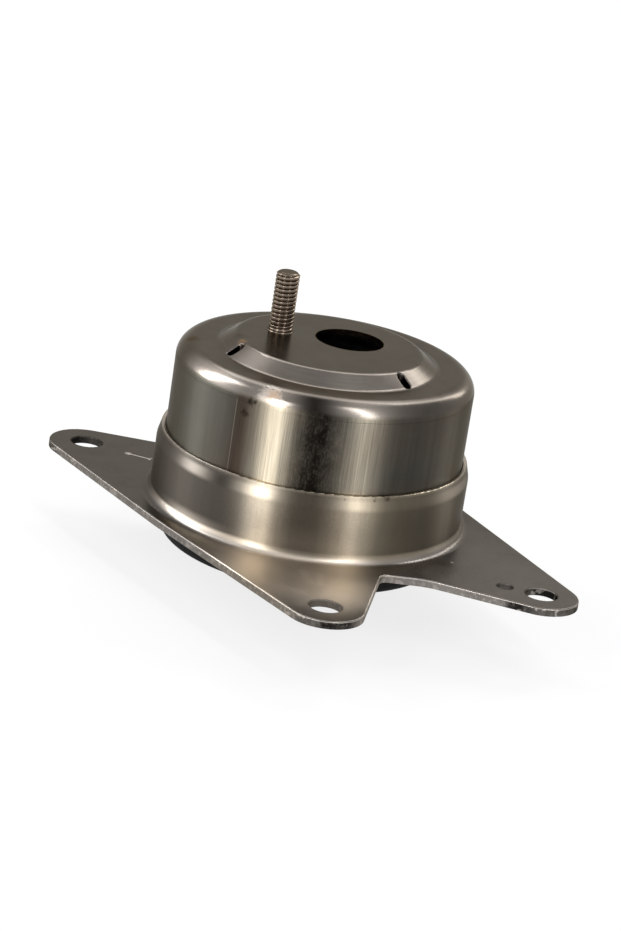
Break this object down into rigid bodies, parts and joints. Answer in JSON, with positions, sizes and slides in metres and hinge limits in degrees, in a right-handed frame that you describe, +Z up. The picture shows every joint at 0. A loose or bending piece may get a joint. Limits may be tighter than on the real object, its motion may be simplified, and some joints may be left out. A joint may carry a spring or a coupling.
{
  "type": "hydraulic engine mount",
  "caption": "Hydraulic engine mount: a drawn steel cup with a threaded stud, gripped by a flat lobed bracket, over a rubber spring with a metal core.",
  "frame": {"origin": "centre of the core's seating face, where its threaded hole opens", "axes": "+Z up the cup's axis towards the stud; X parallel to the line through the left and right bolt holes"},
  "size_m": [0.2018, 0.1431, 0.103],
  "materials": {
    "bracket_steel": "satin bright plating over pressed steel",
    "cup_steel": "bright plating with vertical draw marks",
    "stud_steel": "plated, warm tone",
    "inner_steel": "phosphated",
    "black_rubber": "moulded",
    "core_aluminium": "die cast, face machined",
    "track_aluminium": "die cast"
  },
  "bodies": {
    "root": {"mounting_bracket": "bracket_steel", "top_cup": "cup_steel", "locating_stud": "stud_steel", "outer_sleeve": "inner_steel", "main_rubber_spring": "black_rubber", "inner_core": "core_aluminium", "inertia_track_body": "track_aluminium", "inertia_track_cover": "inner_steel", "decoupler_membrane": "black_rubber", "track_rivets": "inner_steel", "bellows_diaphragm": "black_rubber", "diaphragm_ring": "inner_steel"}
  },
  "joints": []
}
